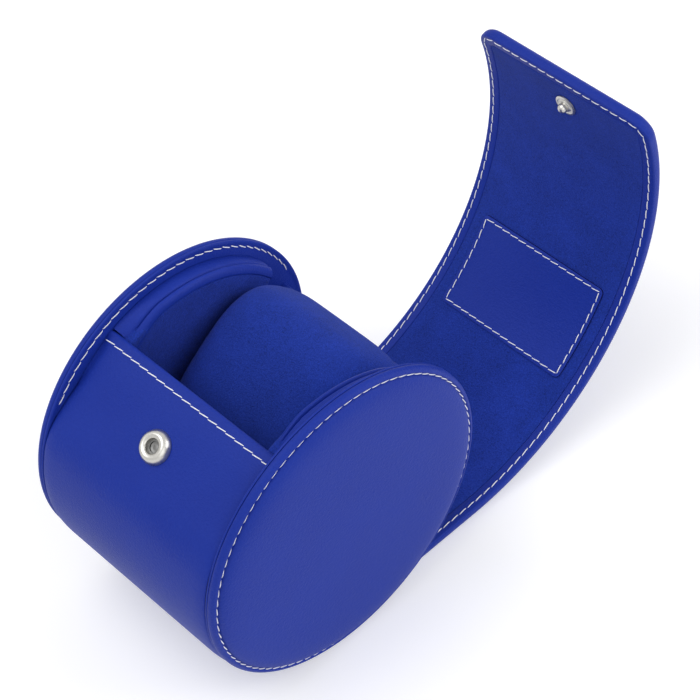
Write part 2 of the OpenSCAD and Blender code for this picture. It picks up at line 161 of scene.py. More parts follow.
def turned(name, profile, start=0.0, sweep=360.0, count=128):
    """A profile of (x, radius) spun about the drum's axis."""
    a = math.radians(start)
    points = [Vector((x, r * math.cos(a), AXIS_Z + r * math.sin(a))) * MM for x, r in profile]
    piece = drawn(name, points)
    bpy.ops.mesh.select_all(action="SELECT")
    bpy.ops.mesh.spin(steps=count, angle=-math.radians(sweep), center=(0, 0, AXIS_Z * MM), axis=(1, 0, 0))
    tidy_mesh()
    leave_edit()
    return piece


def pulled(name, line, stations):
    """A line of the (Y, Z) plane pulled along X through stations."""
    points = [Vector((stations[0] * MM, p.y, p.z)) for p in line]
    piece = drawn(name, points)
    bpy.ops.mesh.select_all(action="SELECT")
    for here, there in zip(stations, stations[1:]):
        bpy.ops.mesh.extrude_region_move(TRANSFORM_OT_translate={"value": ((there - here) * MM, 0, 0)})
    leave_edit()
    return piece


def picked(piece):
    """Selects just this piece."""
    bpy.ops.object.select_all(action="DESELECT")
    bpy.context.view_layer.objects.active = piece
    piece.select_set(True)


def modified(piece, kind, **settings):
    """Adds a modifier and applies it."""
    picked(piece)
    modifier = piece.modifiers.new(kind.lower(), kind)
    for key, value in settings.items():
        setattr(modifier, key, value)
    bpy.ops.object.modifier_apply(modifier=modifier.name)
    return piece


def walled(piece, thickness=SKIN):
    """Gives an open skin its thickness, inwards from the outer face."""
    return modified(piece, "SOLIDIFY", thickness=thickness * MM, offset=-1)


def smooth(piece, angle):
    """Shades a piece smooth where its faces meet at less than an angle."""
    picked(piece)
    bpy.ops.object.shade_smooth_by_angle(angle=math.radians(angle))
    return piece


def reshaped(piece, move):
    """Moves each vertex to move(its place in millimetres)."""
    for vertex in piece.data.vertices:
        vertex.co = move(vertex.co / MM) * MM
    piece.data.update()
    return piece


def outwards(piece):
    """Closes a piece's seams and poles, and turns its faces outwards."""
    edit(piece)
    tidy_mesh()
    leave_edit()
    return piece


def faces_from(piece, core):
    """Turns an open skin so that most of its faces look away from core(the face's centre)."""
    edit(piece)
    bpy.ops.mesh.remove_doubles(threshold=2e-6)
    leave_edit()
    inward = sum(f.normal.dot(f.center - core(f.center)) < 0 for f in piece.data.polygons)
    if inward * 2 > len(piece.data.polygons):
        piece.data.flip_normals()
    return piece


def slab(name, outline, bottom, top, bevel=0.0, segments=3):
    """A flat plate with a given outline of (x, y), from one height to another."""
    piece = drawn(name, [Vector((x, y, bottom)) * MM for x, y in outline], closed=True)
    bpy.ops.mesh.select_all(action="SELECT")
    bpy.ops.mesh.extrude_region_move(TRANSFORM_OT_translate={"value": (0, 0, (top - bottom) * MM)})
    tidy_mesh()
    leave_edit()
    if bevel:
        modified(piece, "BEVEL", width=bevel * MM, segments=segments, limit_method="ANGLE",
                 angle_limit=math.radians(50))
    return piece


def cut(piece, y, keep="both"):
    """Cuts a flat piece across at y, and keeps both parts, or the one in front of the cut or behind it."""
    edit(piece)
    bpy.ops.mesh.bisect(plane_co=(0, y * MM, 0), plane_no=(0, 1, 0), use_fill=keep != "both",
                        clear_outer=keep == "front", clear_inner=keep == "back", threshold=1e-6)
    leave_edit()


def copied(piece, name):
    """A copy with a mesh of its own."""
    twin = piece.copy()
    twin.data = piece.data.copy()
    twin.name = name
    bpy.context.collection.objects.link(twin)
    return twin


# ---- Finishes ----

class Value:
    """A socket of a material. Arithmetic on it adds Math nodes."""

    def __init__(self, finish, socket):
        self.finish = finish
        self.socket = socket

    def math(self, operation, *values, clamp=False):
        node = self.finish.tree.nodes.new("ShaderNodeMath")
        node.operation = operation
        node.use_clamp = clamp
        for place, value in zip(node.inputs, values):
            self.finish.put(value, place)
        return Value(self.finish, node.outputs[0])

    def __add__(self, other):
        return self.math("ADD", self, other)

    def __mul__(self, other):
        return self.math("MULTIPLY", self, other)

    def __sub__(self, other):
        return self.math("SUBTRACT", self, other)

    def __rsub__(self, other):
        return self.math("SUBTRACT", other, self)

    __radd__ = __add__
    __rmul__ = __mul__


class Finish:
    """A material under construction."""

    def __init__(self, name):
        self.material = bpy.data.materials.new(name)
        self.material.use_nodes = True
        self.tree = self.material.node_tree
        self.shader = self.tree.nodes["Principled BSDF"]

    def put(self, value, socket):
        if isinstance(value, Value):
            self.tree.links.new(value.socket, socket)
        else:
            socket.default_value = value

    def node(self, kind, output, settings=None, **values):
        node = self.tree.nodes.new("ShaderNode" + kind)
        for key, setting in (settings or {}).items():
            setattr(node, key, setting)
        for key, value in values.items():
            self.put(value, node.inputs[key.replace("_", " ")])
        return Value(self, node.outputs[output])

    def at(self, scale):
        """Object coordinates in units of 1 mm / scale."""
        place = self.node("TexCoord", "Object")
        return self.node("Mapping", "Vector", Vector=place, Scale=(scale / MM,) * 3)

    def noise(self, scale, detail=2.0, roughness=0.5, distortion=0.0):
        return self.node("TexNoise", "Fac", Vector=self.at(scale), Scale=1.0, Detail=detail,
                         Roughness=roughness, Distortion=distortion)

    def cells(self, scale, feature="F1"):
        return self.node("TexVoronoi", "Distance", {"feature": feature}, Vector=self.at(scale), Scale=1.0)

    def mixed(self, factor, low, high):
        node = self.tree.nodes.new("ShaderNodeMix")
        node.data_type = "RGBA"
        self.put(factor, node.inputs["Factor"])
        self.put(low, node.inputs[6])
        self.put(high, node.inputs[7])
        return Value(self, node.outputs[2])

    def kept(self, value):
        """A value kept between 0 and 1."""
        return value.math("ADD", value, 0.0, clamp=True)

    def set(self, **values):
        for key, value in values.items():
            self.put(value, self.shader.inputs[key.replace("_", " ")])

    def bump(self, height, depth, strength=1.0):
        normal = self.node("Bump", "Normal", Height=height, Distance=depth * MM, Strength=strength)
        self.put(normal, self.shader.inputs["Normal"])


def srgb(r, g, b):
    """A colour as it looks on a screen, 0 to 255, in linear light."""
    def linear(c):
        c = c / 255
        return c / 12.92 if c <= 0.04045 else ((c + 0.055) / 1.055) ** 2.4
    return (linear(r), linear(g), linear(b), 1.0)


def leather(name, dark, light, rough=0.46):
    """Fine-grained satin leather: soft pebbles, faint blotches, and a satin top coat."""
    f = Finish(name)
    blotch = f.noise(0.05, detail=3.0)
    pebble = f.cells(1.5, "SMOOTH_F1")
    pores = f.noise(3.0, detail=3.0, roughness=0.6)
    tone = blotch * 0.55 + pores * 0.7 + pebble * 0.3 - 0.26
    f.set(Base_Color=f.mixed(tone, dark, light), Roughness=rough - 0.06 + blotch * 0.06 + pores * 0.1,
          Specular_IOR_Level=0.13)
    f.bump(pebble * 0.8 + pores * 1.1, 0.1, 0.9)
    return f.material


def suede():
    """Short-napped suede: matt, mottled by the nap's direction, with a soft sheen."""
    f = Finish("suede")
    brushed = f.noise(0.09, detail=4.0, roughness=0.6, distortion=0.8)
    nap = f.noise(1.9, detail=4.0, roughness=0.7, distortion=0.4)
    fibre = f.noise(3.4, detail=3.0, roughness=0.75)
    tone = f.kept(brushed * 0.4 + nap * 0.9 + fibre * 1.3 - 0.81)
    f.set(Base_Color=f.mixed(tone, srgb(8, 28, 88), srgb(40, 70, 192)), Roughness=0.86 + fibre * 0.12,
          Specular_IOR_Level=0.15, Sheen_Weight=0.1, Sheen_Roughness=0.5, Sheen_Tint=(0.4, 0.5, 1.0, 1.0))
    f.bump(fibre * 0.8 + nap * 0.8, 0.3, 0.8)
    return f.material


def thread():
    """Bonded white sewing thread with its twist."""
    f = Finish("thread")
    twist = f.noise(6.0, detail=1.0)
    f.set(Base_Color=f.mixed(twist, srgb(236, 238, 246), srgb(255, 255, 255)),
          Roughness=0.55 + twist * 0.15, Sheen_Weight=0.5)
    f.bump(twist, 0.05, 0.7)
    return f.material


def plated(name, dark, light, rough):
    """Plated metal with hairline wear."""
    f = Finish(name)
    scratch = f.noise(2.2, detail=6.0, roughness=0.75, distortion=1.5)
    f.set(Base_Color=f.mixed(scratch, dark, light), Metallic=1.0,
          Roughness=rough + scratch * 0.12)
    f.bump(scratch, 0.01, 0.35)
    return f.material


def board():
    """Grey-brown bag board with flecks."""
    f = Finish("board")
    fleck = f.noise(1.2, detail=6.0, roughness=0.7)
    f.set(Base_Color=f.mixed(fleck, srgb(150, 138, 112), srgb(178, 166, 140)), Roughness=0.9)
    f.bump(fleck, 0.1, 0.4)
    return f.material


def foam():
    """Open-cell foam."""
    f = Finish("foam")
    cell = f.cells(1.4)
    f.set(Base_Color=f.mixed(cell, srgb(196, 190, 172), srgb(226, 222, 208)), Roughness=0.95)
    f.bump(cell, 0.4, 0.6)
    return f.material


# Darker leather for the patch's side faces: partly their edge paint, partly painted shade along the patch's
# raised edge.
PATCH_EDGE_PAINT_AND_SHADE = leather("patch_edge_paint_and_shade", srgb(9, 20, 84), srgb(14, 28, 100), 0.6)
THREAD = thread()
FINISHES = {
    "leather": leather("leather", srgb(21, 44, 142), srgb(31, 56, 158)),
    "suede": suede(),
    "nickel": plated("nickel", srgb(172, 170, 166), srgb(214, 212, 206), 0.24),
    "rivet_steel": plated("rivet_steel", srgb(96, 96, 98), srgb(150, 150, 148), 0.42),
    "stiff_board": board(),
    "padding": foam()}


def dressed(piece, slot, stands_for=()):
    """Gives a piece its finish and hides the nodes it stands for."""
    piece.data.materials.clear()
    piece.data.materials.append(FINISHES[slot])
    if stands_for:
        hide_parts(*stands_for)
    return piece


for row in frame["record"]["subparts"]:
    node = frame["nodes"][row["node"]]
    node.data.materials.clear()
    node.data.materials.append(FINISHES[row["material_slot"]])


# ---- Sewing ----

def one_stitch():
    """One stitch: a short thread that dives into the leather at both ends."""
    bpy.ops.object.select_all(action="DESELECT")
    bpy.ops.mesh.primitive_uv_sphere_add(segments=8, ring_count=8, radius=1.0, rotation=(0, math.pi / 2, 0))
    piece = bpy.context.object
    bpy.ops.object.transform_apply(location=False, rotation=True, scale=False)

    def stretched(p):
        p = p * MM
        along = p.x
        full = (1 - abs(along) ** 4) ** 0.25 / max(1e-6, math.sqrt(max(1e-9, 1 - along * along)))
        full = min(full, 1.6)
        return Vector((along * STITCH_L / 2, p.y * full * THREAD_R,
                       p.z * full * THREAD_R * 0.9 + STITCH_UP - STITCH_DIVE * along ** 4))

    return reshaped(piece, stretched)


stitch_shape = one_stitch()


def sewn(name, spots, slant=6.0, drawn_out=1.0):
    """Stitches at spots of (place, along, up), each turned a little against its line."""
    work = bmesh.new()
    turn = math.radians(slant)
    for place, along, up in spots:
        side = up.cross(along).normalized()
        ahead = along.normalized() * math.cos(turn) + side * math.sin(turn)
        across = up.cross(ahead).normalized()
        lie = Matrix((ahead * drawn_out, across, up)).transposed().to_4x4()
        one = stitch_shape.data.copy()
        one.transform(Matrix.Translation(place) @ lie)
        work.from_mesh(one)
        bpy.data.meshes.remove(one)
    mesh = bpy.data.meshes.new(name)
    work.to_mesh(mesh)
    work.free()
    piece = bpy.data.objects.new(name, mesh)
    bpy.context.collection.objects.link(piece)
    mesh.materials.append(THREAD)
    for face in mesh.polygons:
        face.use_smooth = True
    return piece


def along_line(points):
    """Evenly spaced stitches on a line of points: each one's place, and the line's direction there."""
    lengths = [0.0]
    for a, b in zip(points, points[1:]):
        lengths.append(lengths[-1] + (b - a).length)
    count = max(1, round(lengths[-1] / (STITCH_PITCH * MM)))
    spots = []
    k = 0
    for i in range(count):
        reach = lengths[-1] * (i + 0.5) / count
        while lengths[k + 1] < reach:
            k += 1
        share = (reach - lengths[k]) / (lengths[k + 1] - lengths[k])
        spots.append((points[k].lerp(points[k + 1], share), (points[k + 1] - points[k]).normalized()))
    return spots


# ---- Round sides ----

def on_side(side, profile):
    """A profile of the right side, or its mirror image for the left one."""
    return [(x * side, r) for x, r in profile]


def arc_profile(x, r, radius, a0, a1, count):
    """An arc of (x, radius) points; angle 0 points out of the rim, and 90 out of the side."""
    return [(x + radius * math.sin(math.radians(a)), r + radius * math.cos(math.radians(a)))
            for a in steps(a0, a1, abs(a1 - a0) / count)]


TIGHT = 1.1            # stitches of the round seams, drawn out until they pass each other
SIDE_SLANT = 8.0
INNER_SEAMS = ((-58, 4), (20, 145))    # where the flanges' own stitches show
RIM_X = 35.45          # a side's outer edge stands out to here
DISC_IN_X = 33.22      # and its leather is turned in to here
FLANGE_IN_X = 33.15    # where the flange's meets it
DISC_SKIN, FLANGE_SKIN = 0.6, 0.3
GROOVE_X = 35.0
PILLOW_R = 45.45
PILLOW_RISE = 2.58
PILLOW_CROWN = 0.15    # share of the rise that is a gentle crown; the rest rolls up at the groove
PILLOW_ROLL = 13


def pillow_x(r):
    """Face of the padded middle: full at its centre, and rolling over towards the sewn groove."""
    share = r / PILLOW_R
    crown = PILLOW_CROWN * (1 - share ** 2)
    return GROOVE_X + PILLOW_RISE * (crown + (1 - PILLOW_CROWN) * math.sqrt(1 - share ** PILLOW_ROLL))


def round_side(name, side):
    """Outer leather of a side: rolled rim, sewn groove, and the padded middle."""
    rim = arc_profile(RIM_X - RIM_ROLL, RIM_R - RIM_ROLL, RIM_ROLL, 0, 80, 8)
    groove = [(35.34, GROOVE_R + 0.34), (GROOVE_X + 0.08, GROOVE_R + 0.14), (GROOVE_X, GROOVE_R)]
    middle = [(pillow_x(r), r) for r in (PILLOW_R, 45.38, 45.2, 44.9, 44.5, 44, 43.4, 42.6, 41.6, 40, 38,
                                         35.5, 32, 27, 21, 14, 7, 0)]
    turn_in = [(DISC_IN_X, RIM_R - 1.5), (DISC_IN_X, RIM_R - 0.3), (33.35, RIM_R - 0.05)]
    profile = turn_in + rim + groove + middle
    piece = turned("round_side_" + name, on_side(side, profile), count=160)
    dressed(walled(outwards(piece), DISC_SKIN), "leather", [name + "_disc_cover", name + "_disc_foam"])
    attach(smooth(piece, 60), "case")
    ring = [polar(a, GROOVE_R, side * GROOVE_X) for a in steps(0, 360, 2)]
    spots = [(p, d, Vector((side, 0, 0))) for p, d in along_line(ring)]
    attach(sewn("side_stitches_" + name, spots, SIDE_SLANT * side, TIGHT), "case")


def flange(name, side):
    """Inner leather of a side, with its own stitches where the side stands over the wrap."""
    face = BODY_HALF + 0.06
    profile = [(face, 0), (face, 20), (face, 40), (face, GROOVE_R - 0.5), (face + 0.16, GROOVE_R),
               (face, GROOVE_R + 0.5), (face, RIM_R - 0.8)]
    profile += [(face + 0.42 * (1 - math.cos(math.radians(a))), RIM_R - 0.7 * (1 - math.sin(math.radians(a))))
                for a in steps(15, 90, 15)]
    profile += [(33.1, RIM_R - 0.08), (FLANGE_IN_X, RIM_R - 0.3), (FLANGE_IN_X, RIM_R - 2)]
    piece = turned("flange_" + name, on_side(side, profile), count=160)
    dressed(walled(outwards(piece), FLANGE_SKIN), "leather", [name + "_flange_leather"])
    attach(smooth(piece, 60), "case")
    spots = []
    for first, last in INNER_SEAMS:
        seam = [polar(a, GROOVE_R, side * (face + 0.1)) for a in steps(first, last, 2)]
        spots += [(p, d, Vector((-side, 0, 0))) for p, d in along_line(seam)]
    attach(sewn("flange_stitches_" + name, spots, SIDE_SLANT * side, TIGHT), "case")


# ---- Drum ----

NOSE_R = (CARRY_R - CAVITY_R) / 2
NOSE_MID = (CARRY_R + CAVITY_R) / 2
NOSE_LEAN = math.degrees(NOSE_R / NOSE_MID)    # angle that a wall's round edge takes up


def nose(angle, way):
    """Round edge of a wall at an angle; way is 1 where the wall goes on to larger angles."""
    centre = polar(angle + way * NOSE_LEAN, NOSE_MID)
    out = (polar(angle + way * NOSE_LEAN, NOSE_MID + 1) - centre).normalized()
    back = (polar(angle, NOSE_MID) - centre).normalized()
    return [centre + NOSE_R * MM * (math.cos(math.radians(a)) * -out + math.sin(math.radians(a)) * back)
            for a in steps(0, 180, 18)]


def panel_point(along, up=0.0):
    """A point on the front panel's flat, from where it starts, down it and up from it."""
    a = math.radians(PANEL_ANGLE)
    y = (CARRY_R + up) * math.cos(a) - along * math.sin(a)
    z = (CARRY_R + up) * math.sin(a) + along * math.cos(a)
    return Vector((0, y, AXIS_Z + z)) * MM


TURN_IN = 5            # angle by which the leather is turned over into the compartment


def wrap_line():
    """The wrap's outer face: turned-over lip, round, flat, soft shoulder, round, and the foot."""
    line = [polar(a, CAVITY_R) for a in steps(LIP_ANGLE + TURN_IN, LIP_ANGLE + NOSE_LEAN + 0.4, 1)]
    line += nose(LIP_ANGLE, 1)
    line += [polar(a, CARRY_R) for a in steps(LIP_ANGLE + NOSE_LEAN + 0.6, PANEL_ANGLE, 1.2)]
    along = math.sqrt((DRUM_R - SHOULDER_R) ** 2 - (CARRY_R - SHOULDER_R) ** 2)
    line += [panel_point(s) for s in steps(1, along, 1.6)]
    centre = panel_point(along, -SHOULDER_R)
    sweep = math.degrees(math.atan2(along, CARRY_R - SHOULDER_R))
    for a in steps(PANEL_ANGLE + 2.5, PANEL_ANGLE + sweep, 2.5):
        r = math.radians(a)
        line.append(centre + SHOULDER_R * MM * Vector((0, math.cos(r), math.sin(r))))
    foot = 270 - math.degrees(math.acos(AXIS_Z / DRUM_R))
    line += [polar(a, DRUM_R) for a in steps(PANEL_ANGLE + sweep + 2, foot, 2)]
    line += [Vector((0, y, 0.02)) * MM for y in steps(-1.5, ROOT - 0.05, 1.5)]
    return line


END_ROLL = 4.5         # length over which the padding rounds in at the round sides
PANEL_DROP = 2.0       # how far the flat panel has dropped there
FOOT_DROP = 0.8        # and the round front below it
PANEL_SPAN = 18        # angle over which the one passes into the other
LIP_SPAN = 6           # the drop starts over this angle, from the lip on
FOOT_ANGLE, FOOT_SPAN = 255, 30    # and ends over this one, towards the foot
SKIN_LEAST_R = 42.45   # the board lies under this
WALL_HALF = BODY_HALF - 0.05


def eased(share):
    """A share from 0 to 1 that starts and ends softly."""
    share = min(1.0, max(0.0, share))
    return share * share * (3 - 2 * share)


def width_stations(half, roll):
    """Places across the case, closer together where the ends round in."""
    ends = [half - roll * (1 - math.sin(math.radians(a))) for a in steps(90, 0, 11.25)]
    middle = steps(half - roll, roll - half, 3.2)
    return ends + middle[1:-1] + [-x for x in reversed(ends)]


def wall_core(r, within=math.inf):
    """Finds what a wall's skin looks away from: the wall's core at radius r, or further out the axis."""
    def core(c):
        on_axis = Vector((c.x, 0, AXIS_Z * MM))
        out = c - on_axis
        return on_axis + out.normalized() * r * MM if out.length < within * MM else on_axis
    return core


def wrap():
    """The wrap's leather, over the padding that rounds in at the round sides."""
    piece = pulled("wrap", wrap_line(), width_stations(WALL_HALF, END_ROLL))

    def rolled(p):
        e = max(0.0, abs(p.x) - (WALL_HALF - END_ROLL)) / END_ROLL
        y, z = p.y, p.z - AXIS_Z
        r = math.hypot(y, z)
        angle = math.degrees(math.atan2(z, y)) % 360
        if r < CARRY_R - 0.3:
            return p
        full = PANEL_DROP + (FOOT_DROP - PANEL_DROP) * eased((angle - PANEL_ANGLE) / PANEL_SPAN)
        full *= eased((angle - LIP_ANGLE - 1.5) / LIP_SPAN) * (1 - eased((angle - FOOT_ANGLE) / FOOT_SPAN))
        drop = min(full * (1 - math.sqrt(max(0.0, 1 - e * e))), r - SKIN_LEAST_R)
        return Vector((p.x, y * (r - drop) / r, AXIS_Z + z * (r - drop) / r))

    faces_from(reshaped(piece, rolled), wall_core(42.0, 43.9))
    dressed(walled(piece), "leather", ["wrap_leather", "wrap_foam"])
    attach(smooth(piece, 60), "case")
    seam_angle, seam_half = LIP_ANGLE + 4, WALL_HALF - 0.6
    line = [polar(seam_angle, CARRY_R + 0.02, x) for x in steps(seam_half, -seam_half, 2)]
    up = (polar(seam_angle, CARRY_R) - Vector((0, 0, AXIS_Z)) * MM).normalized()
    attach(sewn("lip_stitches", [(p, d, up) for p, d in along_line(line)], drawn_out=TIGHT), "case")


def rear_wall():
    """Leather of the low wall behind the cushion, from the flap's root up and over its top."""
    foot_y = ROOT - 0.15
    line = [Vector((0, foot_y, z)) * MM for z in (3.2, 3.9, 4.7)]
    start = -math.degrees(math.acos(foot_y / CARRY_R))
    line += [polar(a, CARRY_R) for a in steps(start, WALL_TOP_ANGLE - NOSE_LEAN - 0.6, 2)]
    line += list(reversed(nose(WALL_TOP_ANGLE, -1)))
    line += [polar(a, CAVITY_R) for a in steps(WALL_TOP_ANGLE - NOSE_LEAN - 0.4, WALL_TOP_ANGLE - TURN_IN, 1)]
    piece = pulled("rear_wall", line, steps(WALL_HALF, -WALL_HALF, 3.3))
    faces_from(piece, wall_core(42.1))
    dressed(walled(piece), "leather", ["rear_wall_cover"])
    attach(smooth(piece, 60), "case")


# ---- Side pads and collars ----

COLLAR_START, COLLAR_END = 36.0, 113.0
NOTCH_R = 36.0         # the pad ends here in the notch
FIRM_R = 24.0          # and nothing of it moves within this


def side_pad(name, side):
    """Suede-covered pad: a round plate with a soft edge, and a notch behind the collar."""
    inner = CAVITY_HALF + 0.02
    profile = [(BODY_HALF - 0.1, 0), (BODY_HALF - 0.1, 20), (BODY_HALF - 0.1, CAVITY_R - 0.15)]
    profile += [(inner + 5, CAVITY_R - 0.12), (inner + 0.9, CAVITY_R - 0.16), (inner + 0.4, CAVITY_R - 0.3),
                (inner + 0.12, CAVITY_R - 0.6), (inner + 0.02, CAVITY_R - 1.1)]
    profile += [(inner, r) for r in (35, 30, 24, 17, 10, 0)]
    piece = turned("side_pad_" + name, on_side(side, profile), count=180)

    def notched(p):
        y, z = p.y, p.z - AXIS_Z
        r = math.hypot(y, z)
        if r < FIRM_R or not WALL_TOP_ANGLE - 1 < math.degrees(math.atan2(z, y)) < COLLAR_START + 1.2:
            return p
        share = (FIRM_R + (r - FIRM_R) * (NOTCH_R - FIRM_R) / (CAVITY_R - FIRM_R)) / r
        return Vector((p.x, y * share, AXIS_Z + z * share))

    reshaped(piece, notched)
    dressed(outwards(piece), "suede", [name + "_side_pad", name + "_side_lining"])
    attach(smooth(piece, 50), "case")


DIP_ANGLE = 96.0       # from here the collar dips towards its front end
DIP = 3.6
SLANT, SLANT_SPAN = 3.2, 7         # how far its rear end is cut back at the top, and over what angle
FOLD_R = 38.2


def collar(name, side):
    """Leather ledge over a side pad, with a crease, a rolled inner edge and a turned-down side."""
    profile = [(BODY_HALF - 0.1, 36.2), (BODY_HALF - 0.1, 43.05), (BODY_HALF - 0.6, 43.16), (30.6, 43.2),
               (28.75, 43.2), (28.35, 43.02), (28.1, 42.55), (27.98, 42.36), (27.86, 42.55), (27.68, 42.98),
               (27.4, 43.16), (27.05, 43.08), (26.65, 42.8), (26.28, 42.3), (26.08, 41.7),
               (25.98, 41.2), (25.98, 40.8), (26.1, 40.62), (26.9, 40.3), (27.6, 36.2)]
    piece = turned("collar_" + name, on_side(side, profile + profile[:1]), COLLAR_START,
                   COLLAR_END - COLLAR_START, 64)
    edit(piece)
    bpy.ops.mesh.fill_holes(sides=0)
    leave_edit()

    def settle(p):
        y, z = p.y, p.z - AXIS_Z
        r = math.hypot(y, z)
        angle = math.degrees(math.atan2(z, y))
        inner = min(1.0, max(0.0, (BODY_HALF - 1.0 - abs(p.x)) / 4.2))
        front = min(1.0, max(0.0, (angle - DIP_ANGLE) / (COLLAR_END - DIP_ANGLE)))
        r -= DIP * front ** 1.3 * inner
        rear = min(1.0, max(0.0, 1 - (angle - COLLAR_START) / SLANT_SPAN))
        a = math.radians(angle + SLANT * rear * (r - FOLD_R) / (CARRY_R - FOLD_R))
        return Vector((p.x, r * math.cos(a), AXIS_Z + r * math.sin(a)))

    reshaped(piece, settle)
    dressed(outwards(piece), "leather", [name + "_collar_trim"])
    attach(smooth(piece, 60), "case")


# ---- Cushion ----

CUSHION_HALF = 25.85
CUSHION_MID = (12.1, 44.6)
CUSHION_LEAN = 16.3
VOXEL = 2.6
PRESSURE = 4.0
MOMENTS = 20           # frames that the cloth is blown up over
PUFF = 1.2             # how far the cloth may move
FILL = 1.2             # how much fuller the cover is than the construction's
END_FILL = 1.0         # and how much more at its two ends
END_START, END_SPAN = 17, 8.5
SIDE_FILL = 0.4
FRONT_FILL = 2.0       # and how much more towards the front
SEAT_DEPTH = 2.3       # how far the strap's seat, above the front, is pressed flat
SEAT_ANGLE, SEAT_SPREAD = -28.0, 26.0
FRONT_Y = -16.2        # the lip, which the cushion has to pass
MOUTH_GAP, WALL_GAP = 0.6, 0.05


def fitted(p):
    """Fills the cushion out, flattens the strap's seat, and keeps all of it in its room."""
    y, z = p.y - CUSHION_MID[0], p.z - CUSHION_MID[1]
    reach = math.hypot(y, z)
    turn = (math.degrees(math.atan2(y, z)) - CUSHION_LEAN + 180) % 360 - 180
    more = FILL + END_FILL * max(0.0, (abs(p.x) - END_START) / END_SPAN) ** 2
    more += FRONT_FILL * max(0.0, -math.sin(math.radians(turn))) ** 2
    more -= SEAT_DEPTH * math.exp(-((turn - SEAT_ANGLE) / SEAT_SPREAD) ** 2)
    grown = (reach + more * min(1.0, reach / 12)) / max(reach, 1e-6)
    y, z = CUSHION_MID[0] + y * grown, CUSHION_MID[1] + z * grown - AXIS_Z
    in_mouth = WALL_TOP_ANGLE + 2 < math.degrees(math.atan2(z, y)) % 360 < LIP_ANGLE - 2
    most = CARRY_R - MOUTH_GAP if in_mouth else CAVITY_R - WALL_GAP
    share = min(1.0, most / max(math.hypot(y, z), 1e-6))
    x = p.x + math.copysign(SIDE_FILL * min(1.0, abs(p.x) / 20), p.x)
    return Vector((max(-CUSHION_HALF, min(CUSHION_HALF, x)), max(FRONT_Y, y * share), AXIS_Z + z * share))


def cushion():
    """Suede cushion: the construction's shape blown up as cloth, and filled out."""
    piece = copied(frame["nodes"]["cushion_cover"], "cushion")
    piece.parent = None
    piece.hide_render = False
    piece.hide_viewport = False
    edit(piece)
    bpy.ops.mesh.remove_doubles(threshold=1e-5)
    leave_edit()
    # Only the shell's outer skin is wanted: the loose part that reaches furthest to the side.
    work = bmesh.new()
    work.from_mesh(piece.data)
    far = max(work.verts, key=lambda v: v.co.x)
    keep, todo = {far}, [far]
    while todo:
        for edge in todo.pop().link_edges:
            for vert in edge.verts:
                if vert not in keep:
                    keep.add(vert)
                    todo.append(vert)
    bmesh.ops.delete(work, geom=[v for v in work.verts if v not in keep], context="VERTS")
    work.to_mesh(piece.data)
    work.free()
    modified(piece, "REMESH", mode="VOXEL", voxel_size=VOXEL * MM)
    start = [v.co.copy() for v in piece.data.vertices]
    cloth = piece.modifiers.new("cloth", "CLOTH")
    cloth.settings.use_pressure = True
    cloth.settings.uniform_pressure_force = PRESSURE
    cloth.settings.effector_weights.gravity = 0.0
    cloth.settings.quality = 5
    for moment in range(1, MOMENTS + 1):
        bpy.context.scene.frame_set(moment)
    puffed = piece.evaluated_get(bpy.context.evaluated_depsgraph_get()).data
    ends = [v.co.copy() for v in puffed.vertices]
    piece.modifiers.clear()
    bpy.context.scene.frame_set(1)
    for vertex, here, there in zip(piece.data.vertices, start, ends):
        step = there - here
        vertex.co = here + step * (PUFF * MM / max(PUFF * MM, step.length))
    reshaped(piece, fitted)
    modified(piece, "SUBSURF", levels=1, render_levels=1)
    dressed(piece, "suede", ["cushion_cover", "cushion_core"])
    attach(smooth(piece, 180), "cushion")


# ---- Flap: modelled flat, then bent up ----

def bent_up(p):
    """Where a point of the flat flap lies when the flap curves up."""
    if p.y <= BEND_Y:
        return p
    a = (p.y - BEND_Y) / BEND_R
    r = BEND_R + FLAP_T - p.z
    return Vector((p.x, BEND_Y + r * math.sin(a), FLAP_T + BEND_R - r * math.cos(a)))


def bent(piece):
    """Bends a flat piece the way the open flap curves."""
    return reshaped(piece, bent_up)


def line_at(k):
    """Where bending line k lies along the flat flap."""
    if k <= FLAT_COUNT:
        return ROOT + k * FLAT_L / FLAT_COUNT
    return BEND_Y + (k - FLAT_COUNT) * (FLAP_END - BEND_Y) / BEND_COUNT


def middle_of(i):
    """Middle of stretch i along the flat flap."""
    return (line_at(i - 1) + line_at(i)) / 2


def strip_bounds(k):
    """Where the strip over bending line k starts and ends; the last one takes in the end edge."""
    low = ROOT if k == 0 else middle_of(k)
    high = FLAP_END + 5 if k == FLAP_COUNT else middle_of(k + 1)
    return low, high


def rides_line(piece, k):
    """Puts the last strip on the flap's last body; any other strip only has its place baked into its mesh."""
    if k == FLAP_COUNT:
        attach(piece, "flap_%d" % k)
        return
    low, high = strip_bounds(k)
    start, end = [bent_up(Vector((0, y, HINGE_UP))) * MM for y in (low if k else ROOT - 1, high)]
    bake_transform(piece)


def flap_outline(inset, start, end_inset=None):
    """Outline of the flat flap with its rounded end, drawn in by an inset."""
    r = FLAP_CORNER_R - inset
    half, end = FLAP_HALF - inset, FLAP_END - (inset if end_inset is None else end_inset)
    line = [(half, start)]
    line += [(half - r + r * math.cos(math.radians(a)), end - r + r * math.sin(math.radians(a)))
             for a in steps(0, 90, 11.25)]
    line += [(-half + r - r * math.sin(math.radians(a)), end - r + r * math.cos(math.radians(a)))
             for a in steps(0, 90, 11.25)]
    line += [(-half, start)]
    return line


def in_strips(piece, slot, node):
    """Slices a flat piece, splits it at the middle of each stretch, and bends the strips."""
    for y in steps(BEND_Y, FLAP_END - 1, 2.0) + steps(ROOT + 2, BEND_Y - 3, 2.4):
        cut(piece, y)
    name = piece.name
    for k in range(FLAP_COUNT + 1):
        low, high = strip_bounds(k)
        strip = copied(piece, "%s_%d" % (name, k))
        cut(strip, low, "back")
        if k < FLAP_COUNT:
            cut(strip, high, "front")
        smooth(bent(strip), 50)
        dressed(strip, slot, [node % k] if k else [])
        rides_line(strip, k)
    bpy.data.objects.remove(piece)


